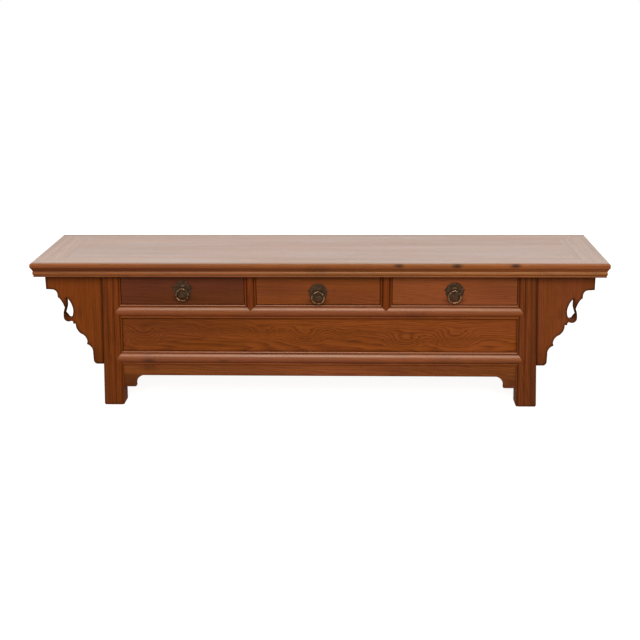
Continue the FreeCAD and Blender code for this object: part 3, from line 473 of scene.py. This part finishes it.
top_tones = ("#81441B", "#7B4019", "#6F3914")
band_face = -0.214
band_knots = [(0.256, band_face, 0.484, 0.012, 0.005, 0.18),
              (0.438, band_face, 0.483, 0.013, 0.005, 0.14),
              (0.621, band_face, 0.484, 0.013, 0.005, 0.14),
              (0.001, -0.208, 0.470, 0.030, 0.004, 0.78)]
for node, grain, heart, seed, knots in (
        ("top_front_rail", "X", (-0.17, 0.42), 24, band_knots),
        ("top_back_rail", "X", (0.17, 0.42), 25, ()),
        ("top_left_end", "Y", (0.86, 0.42), 26, ()),
        ("top_right_end", "Y", (-0.86, 0.42), 27, ()),
        ("top_front_board", "X", (-0.07, 0.44), 28, ()),
        ("top_back_board", "X", (0.06, 0.45), 29, ())):
    dress(node, lacquered_elm("waxed_elm_" + node, grain, heart, seed, top_tones, knots, shine=0.3,
                              gloss=0.36, over=wax))


# Inside: braces under the top, bottom boards, drawer runners, guides and the drawers' boxes, in
# pale soft wood that was planed and left bare, and has gone brown and dusty with age.

def bare_softwood(grain):
    """Planed, unfinished softwood gone brown: wide pale rings with thin dark latewood, matt and
    slightly fuzzy. Ring number = (distance from the heart line, bent by slow noise) / ring width.
    Fibres are drawn at 2.5 mm by 125 mm so that they show, and dust lies in patches of 70 mm."""
    ring_width = 0.007
    bend = 0.03
    heart = (0.05, 0.30)
    material = empty_material("bare_softwood_" + grain)
    tree = material.node_tree
    place = put(tree, "TexCoord", take="Object")
    turn = {"X": (0, 0, 0), "Y": (0, 0, -math.pi / 2)}[grain]
    shift = (51.9, -heart[0], -heart[1])
    board = put(tree, "Mapping", {0: place, "Location": shift, "Rotation": turn})
    slow = put(tree, "VectorMath", {0: board, 1: (2, 14, 14)}, operation="MULTIPLY")
    wander = put(tree, "TexNoise", {"Vector": slow, "Scale": 1.0, "Detail": 2.0}, take="Color")
    bent = put(tree, "VectorMath", {0: wander, 1: (0, bend, bend), 2: board},
               operation="MULTIPLY_ADD")
    across = put(tree, "VectorMath", {0: bent, 1: (0, 1, 1)}, operation="MULTIPLY")
    radius = put(tree, "VectorMath", {0: across}, take="Value", operation="LENGTH")
    rings = put(tree, "Math", {0: radius, 1: ring_width}, operation="DIVIDE")
    ring = put(tree, "Math", {0: rings}, operation="FRACT")
    colour = put(tree, "ValToRGB", {0: ring}, [
        (0, "#B98D5E"), (0.6, "#B08253"), (0.9, "#8F6238"), (1, "#B98D5E")])
    fine = put(tree, "VectorMath", {0: board, 1: (8, 400, 400)}, operation="MULTIPLY")
    fibre = put(tree, "TexNoise", {"Vector": fine, "Scale": 1.0, "Detail": 2.0})
    dust = put(tree, "TexNoise", {"Vector": place, "Scale": 14.0, "Detail": 4.0})
    factor = 1.0
    for source, least, most in ((fibre, 0.86, 1.12), (dust, 0.72, 1.12)):
        share = put(tree, "MapRange", {"Value": source, "From Min": 0.3, "From Max": 0.7,
                                       "To Min": least, "To Max": most})
        factor = put(tree, "Math", {0: factor, 1: share}, operation="MULTIPLY")
    aged = put(tree, "VectorMath", {0: colour, "Scale": factor}, operation="SCALE")
    fuzzy = put(tree, "Bump", {"Strength": 0.3, "Distance": 0.0003, "Height": fibre})
    rough = put(tree, "MapRange", {"Value": dust, "To Min": 0.62, "To Max": 0.85})
    shader = put(tree, "BsdfPrincipled", {"Base Color": aged, "Roughness": rough, "IOR": 1.5,
                                          "Specular IOR Level": 0.3, "Normal": fuzzy})
    put(tree, "OutputMaterial", {"Surface": shader})
    return material


inner_grain = {"top_braces": "Y", "bottom_boards": "X", "drawer_guides": "Y",
               "back_runner_rail": "X", "left_end_runner": "Y", "left_middle_runner": "Y",
               "right_middle_runner": "Y", "right_end_runner": "Y"}
for drawer in ("left_drawer", "centre_drawer", "right_drawer"):
    inner_grain.update({drawer + "_left_side": "Y", drawer + "_right_side": "Y",
                        drawer + "_back": "X", drawer + "_bottom": "X"})
inner_woods = {grain: bare_softwood(grain) for grain in "XY"}
for node, grain in inner_grain.items():
    dress(node, inner_woods[grain])


# Drawer fronts: flat elm boards with a softly rounded edge, dovetailed onto their sides. They come
# from different boards: the left one took the stain darkest, the right one stayed the reddest.
# Round the rings they are darker, as painted shadow of each ring and as grease from hands.
front_face = -0.178
drawer_tones = {"left": ("#5D2D15", "#592B14", "#522711"),
                "centre": ("#763B18", "#723916", "#693313"),
                "right": ("#80421E", "#7C401C", "#733A18")}
# the first mark on each front is its ring's painted shadow with hand grease; the others are stains
drawer_stains_and_ring_shadows = {"left": [(-0.4358, front_face, 0.3675, 0.024, 0.0, 0.50)],
                 "centre": [(0.0, front_face, 0.358, 0.024, 0.0, 0.42),
                            (-0.140, front_face, 0.395, 0.060, 0.0, 0.86)],
                 "right": [(0.4358, front_face, 0.362, 0.024, 0.0, 0.42),
                           (0.580, front_face, 0.395, 0.070, 0.0, 0.80)]}
for index, (side, tones) in enumerate(drawer_tones.items()):
    node = side + "_drawer_front"
    heart = (-0.09, 0.30 + 0.01 * index)
    # their hollows get less painted shade than other pieces
    dress(node, lacquered_elm("elm_" + node, "X", heart, 31 + index, tones, drawer_stains_and_ring_shadows[side],
                              bands=0.03, deepest_painted_shade=0.74))


# Ring pulls: a hammered bronze plate held by two pins, a split-pin eye of half-round brass wire
# that is clinched inside the drawer, and a cast ring that hangs free in the eye, a little worn at
# its top.
front_back = -0.158
eye_y = -0.1897
pin_reach = 0.0296
pulls = {"left": (-0.4358, 0.4015), "centre": (0.0, 0.392), "right": (0.4358, 0.396)}


def hammered_plate(x, z, seed):
    """A round plate: a profile from the bore over a low boss, across the plate and round its rim to
    the back, carried round an axis that moves down by 5 mm from the boss to the rim. The outline is
    a circle that is 0.4 mm out of true, and the face sinks by the sum of sixty shallow round
    dents."""
    bore, boss_reach, flat_start, flat_end, edge = 0.0028, 0.0062, 0.0095, 0.0286, 0.0295
    thickness, boss_rise, rounding, drop, dents = 0.0018, 0.0014, 0.0007, 0.005, 60
    draw = np.random.default_rng(seed)
    turn = np.linspace(0, 2 * math.pi, 120, endpoint=False)
    boss = np.linspace(0, 1, 8)
    flat = np.linspace(flat_start, flat_end, 24)
    rim = np.linspace(0, math.pi / 2, 6)
    out = np.concatenate([bore + boss_reach * boss, flat, edge - rounding + rounding * np.sin(rim),
                          [edge, bore]])
    up = np.concatenate([thickness + boss_rise * np.cos(boss * math.pi / 2) ** 1.3,
                         np.full(len(flat), thickness),
                         thickness - rounding + rounding * np.cos(rim), [0.0, 0.0]])
    out, up = out[:, None], up[:, None]
    radius = out * (1 - 0.007 * (out / edge) ** 4 * (1 + np.sin(3 * turn + seed)))
    lower = drop * np.clip((out - flat_start) / 0.019, 0, 1)
    px, pz = radius * np.cos(turn), radius * np.sin(turn) - lower
    spots = draw.uniform(-0.030, 0.028, (dents, 2))
    size = draw.uniform(0.002, 0.005, dents)
    far = (px[..., None] - spots[:, 0]) ** 2 + (pz[..., None] - spots[:, 1]) ** 2
    dent = (0.00016 * np.exp(-far / size ** 2)).sum(2) * (up > 0.0015)
    points = np.stack([x + px, front_face - up + dent, z + pz], 2).reshape(-1, 3)
    return points, [grid(len(out), len(turn), True, True)]


def pin_head(x, z):
    """A domed pin: circles whose radius falls with the cosine and whose height rises with the sine
    of one angle, closed by a cap point, on a straight collar that goes on into the wood."""
    reach, dome, collar = 0.0030, 0.0016, 0.0006
    steps, sides = 6, 20
    angle = np.linspace(0, math.pi / 2 - 0.05, steps)
    turn = np.linspace(0, 2 * math.pi, sides, endpoint=False)
    radius, height = reach * np.cos(angle)[:, None], dome * np.sin(angle)[:, None] + collar
    points = np.stack([x + radius * np.cos(turn),
                       np.broadcast_to(front_face - height, (steps, sides)),
                       z + radius * np.sin(turn)], 2).reshape(-1, 3)
    foot = points[:sides] + [0, 2 * collar, 0]
    points = np.concatenate([points, foot, [[x, front_face - dome - collar, z]]])
    column = np.arange(sides)
    beside = (column + 1) % sides
    last, sunk, tip = (steps - 1) * sides, steps * sides, (steps + 1) * sides
    skirt = np.stack([column + sunk, beside + sunk, beside, column], 1)
    cap = np.stack([column + last, beside + last, np.full(sides, tip)], 1)
    return points, [grid(steps, sides, False, True), skirt, cap]


def split_pin_eye(x, z):
    """Half-round wire carried along a path in the plane of x: from the upper clinched tail to the
    stem, forwards, round the eye, and back along the stem to the lower tail. The path is a smooth
    curve (each span a cubic with slopes from its neighbours) through listed points, and the wire
    swells by a third round the eye. Its round side lies left of the path, which is inside the loop.
    That is a known fault: it cuts the ring's wire there by up to 2.3 mm."""
    wire = 0.0023
    half = [(front_back + 0.0014, 0.0122), (front_back + 0.0014, 0.0062),
            (front_back + 0.0010, 0.0022), (front_back - 0.0020, 0.0002),
            (front_back - 0.0120, 0.0001), (eye_y + 0.0088, 0.0001), (eye_y + 0.0060, 0.0012),
            (eye_y + 0.0030, 0.0037), (eye_y - 0.0008, 0.0045), (eye_y - 0.0038, 0.0028)]
    knots = np.array(half + [(eye_y - 0.0048, 0.0)] + [(y, -up) for y, up in half[::-1]])
    slope = np.gradient(knots, axis=0)
    t = np.linspace(0, 1, 8, endpoint=False)[None, :, None]
    a, b, da, db = (v[:, None] for v in (knots[:-1], knots[1:], slope[:-1], slope[1:]))
    path = ((2 * t ** 3 - 3 * t ** 2 + 1) * a + (t ** 3 - 2 * t ** 2 + t) * da
            + (3 * t ** 2 - 2 * t ** 3) * b + (t ** 3 - t ** 2) * db).reshape(-1, 2)
    path = np.concatenate([path, knots[-1:]])
    ahead = np.gradient(path, axis=0)
    ahead /= np.linalg.norm(ahead, axis=1)[:, None]
    inward = np.stack([-ahead[:, 1], ahead[:, 0]], 1)
    swell = 1 + 0.35 * np.exp(-((path[:, 0] - eye_y) / 0.006) ** 2)
    angle = np.linspace(0, math.pi, 10)
    wide = np.concatenate([np.cos(angle), [-0.5, 0.5]])
    thick = np.concatenate([np.sin(angle), [0.0, 0.0]])
    section = wire * swell[:, None]
    points = np.stack([x + section * wide,
                       path[:, :1] + inward[:, :1] * section * thick,
                       z + path[:, 1:] + inward[:, 1:] * section * thick], 2).reshape(-1, 3)
    rows, sides = len(path), len(wide)
    ends = [np.arange(sides)[None, ::-1], (rows - 1) * sides + np.arange(sides)[None]]
    return points, [grid(rows, sides, False, True)] + ends


def cast_ring(x, z):
    """A wire ring: a circle that hangs from the pivot carries a round section, whose radius grows
    from bottom to top with the cosine, is a little uneven from casting, and is a twentieth less
    at the very top, where it rubs in the eye."""
    ring_radius, ring_drop, ring_wire = 0.0195, 0.0013, 0.00245
    along = np.linspace(0, 2 * math.pi, 128, endpoint=False)
    around = np.linspace(0, 2 * math.pi, 24, endpoint=False)
    uneven = 0.015 * np.sin(5 * along) + 0.01 * np.sin(9 * along + 1)
    wire = ring_wire * (1 - 0.06 * np.cos(along) + uneven)
    wire *= 1 - 0.05 * np.exp(-((along - math.pi) / 0.3) ** 2)
    reach = ring_radius + wire[:, None] * np.cos(around)
    centre = z - ring_drop - ring_radius
    points = np.stack([x + reach * np.sin(along)[:, None], eye_y + wire[:, None] * np.sin(around),
                       centre - reach * np.cos(along)[:, None]], 2).reshape(-1, 3)
    return points, [grid(len(along), len(around), True, True)]


def old_metal(name, bright, dull, rough, seed):
    """Bronze or brass under brown patina: dull and matt where it lies still, brighter where hands
    and the other pieces rub it. Patches of 6 mm and specks of 1 mm mix the two, and arrises are
    rubbed first."""
    material = empty_material(name)
    tree = material.node_tree
    place = put(tree, "TexCoord", take="Object")
    moved = put(tree, "Mapping", {0: place, "Location": (seed, seed * 0.7, 0)})
    patch = put(tree, "TexNoise", {"Vector": moved, "Scale": 160.0, "Detail": 3.0})
    speck = put(tree, "TexNoise", {"Vector": moved, "Scale": 900.0, "Detail": 2.0})
    soft = put(tree, "Bevel", {"Radius": 0.001}, samples=4)
    flat = put(tree, "NewGeometry", take="Normal")
    same = put(tree, "VectorMath", {0: soft, 1: flat}, take="Value", operation="DOT_PRODUCT")
    arris = put(tree, "MapRange", {"Value": same, "From Min": 0.99, "From Max": 0.85,
                                   "To Max": 0.5})
    rub = put(tree, "MapRange", {"Value": patch, "From Min": 0.42, "From Max": 0.68})
    rub = put(tree, "Math", {0: rub, 1: arris}, operation="ADD", use_clamp=True)
    colour = put(tree, "Mix", {"Factor": rub, "A": linear(dull), "B": linear(bright)},
                 take="Result", data_type="RGBA")
    shade = put(tree, "MapRange", {"Value": speck, "From Min": 0.3, "From Max": 0.7,
                                   "To Min": 0.8, "To Max": 1.15})
    toned = put(tree, "VectorMath", {0: colour, "Scale": shade}, operation="SCALE")
    gloss = put(tree, "MapRange", {"Value": rub, "To Min": rough + 0.18, "To Max": rough})
    dents = put(tree, "Bump", {"Strength": 0.3, "Distance": 0.0002, "Height": speck})
    shader = put(tree, "BsdfPrincipled", {"Base Color": toned, "Metallic": 1.0, "Roughness": gloss,
                                          "Normal": dents})
    put(tree, "OutputMaterial", {"Surface": shader})
    return material


plate_bronze = old_metal("patinated_bronze", "#4A3728", "#37271B", 0.42, 0.0)
ring_brass = old_metal("worn_brass", "#8C6E50", "#3E2D1E", 0.24, 1.0)
for seed, (side, (x, z)) in enumerate(pulls.items()):
    drawer = side + "_drawer"
    show(side + "_hammered_plate", *hammered_plate(x, z, seed), plate_bronze, drawer,
         "bronze_plate", side + "_pull_plate")
    for end, sign in (("left", -1), ("right", 1)):
        show(f"{side}_plate_{end}_pin", *pin_head(x + sign * pin_reach, z), plate_bronze, drawer,
             "bronze_plate")
    show(side + "_split_pin_eye", *split_pin_eye(x, z), ring_brass, drawer,
         "brass_ring", side + "_pull_eye")
    show(side + "_cast_ring", *cast_ring(x, z), ring_brass, side + "_ring",
         "brass_ring", side + "_pull_ring")


# The room: a pale floor that runs out into a white room, one large soft box before the table and
# above the camera, a low one behind that only brightens the back, and a weak fill all round.

def seen_rays(tree):
    """1 for rays that the eye follows, straight, off gloss or through glass, and 0 for the rest, so
    that the white it sees adds no light."""
    rays = put(tree, "LightPath").node.outputs
    seen = put(tree, "Math", {0: rays["Is Camera Ray"], 1: rays["Is Glossy Ray"]},
               operation="MAXIMUM")
    return put(tree, "Math", {0: seen, 1: rays["Is Transmission Ray"]}, operation="MAXIMUM")


pale_floor = empty_material("pale_floor")
tree = pale_floor.node_tree
spot = put(tree, "TexCoord", take="Object")
far = put(tree, "VectorMath", {0: spot}, take="Value", operation="LENGTH")
white = put(tree, "MapRange", {"Value": far, "From Min": 1.2, "From Max": 4.0,
                               "To Min": 0.87, "To Max": 1.0})
lift = put(tree, "Math", {0: seen_rays(tree), 1: white}, operation="MULTIPLY")
matt = put(tree, "BsdfDiffuse", {"Color": linear("#A19F9C")})
glow = put(tree, "Emission", {"Strength": lift})
both = put(tree, "AddShader", {0: matt, 1: glow})
put(tree, "OutputMaterial", {"Surface": both})
floor_half = 40
floor_corners = floor_half * np.array([(-1, -1, 0), (1, -1, 0), (1, 1, 0), (-1, 1, 0)])
floor_mesh = bpy.data.meshes.new("floor")
floor_mesh.from_pydata(floor_corners.tolist(), [], [(0, 1, 2, 3)])
floor_mesh.materials.append(pale_floor)
floor = bpy.data.objects.new("floor", floor_mesh)
bpy.context.scene.collection.objects.link(floor)

white_room = bpy.data.worlds.new("white_room")
bpy.context.scene.world = white_room
white_room.use_nodes = True
tree = white_room.node_tree
tree.nodes.clear()
fill = put(tree, "MapRange", {"Value": seen_rays(tree), "To Min": 0.32, "To Max": 1.0})
sky = put(tree, "Background", {"Color": (1, 1, 1, 1), "Strength": fill})
put(tree, "OutputWorld", {"Surface": sky})


def soft_box(name, place, target, size, watts):
    """A rectangular lamp at a place that faces a target: its -Z axis runs along the line between
    them."""
    lamp = bpy.data.lights.new(name, "AREA")
    lamp.shape = "RECTANGLE"
    lamp.size, lamp.size_y = size
    lamp.energy = watts
    box = bpy.data.objects.new(name, lamp)
    bpy.context.scene.collection.objects.link(box)
    back = np.array(place, float) - target
    back /= np.linalg.norm(back)
    side = np.cross((0, 0, 1), back)
    side /= np.linalg.norm(side)
    turned = np.stack([side, np.cross(back, side), back, place], 1)
    box.matrix_world = Matrix([*turned.tolist(), [0, 0, 0, 1]])
    box.visible_camera = False
    return box


table_middle = (0, 0, 0.3)
soft_box("front_soft_box", (0.1, -3.25, 2.4), table_middle, (3.4, 2.1), 154)
soft_box("back_soft_box", (0, 3.4, 0.75), table_middle, (3.0, 0.9), 60).visible_glossy = False


# Camera: as high as a seated person's eyes, a little to the right of the middle, turned and tilted
# as in the photograph. Its axes come from yaw to the left, pitch downwards and a slight roll.
yaw, pitch, roll = (math.radians(a) for a in (2.0849, 16.9122, -0.4445))
focal_px, frame_px, sensor_mm = 1096.94, 640, 36
camera_place = (0.1289, -3.5612, 1.3238)
right = np.array([math.cos(yaw), math.sin(yaw), 0])
ahead = np.array([-math.sin(yaw) * math.cos(pitch), math.cos(yaw) * math.cos(pitch),
                  -math.sin(pitch)])
up = np.cross(right, ahead)
right, up = (math.cos(roll) * right + math.sin(roll) * up,
             math.cos(roll) * up - math.sin(roll) * right)
lens = bpy.data.cameras.new("camera")
lens.sensor_width = sensor_mm
lens.lens = focal_px / frame_px * sensor_mm
camera = bpy.data.objects.new("camera", lens)
bpy.context.scene.collection.objects.link(camera)
stand = np.stack([right, up, -ahead, camera_place], 1)
camera.matrix_world = Matrix([*stand.tolist(), [0, 0, 0, 1]])
bpy.context.scene.camera = camera
bpy.context.scene.view_settings.view_transform = "Standard"
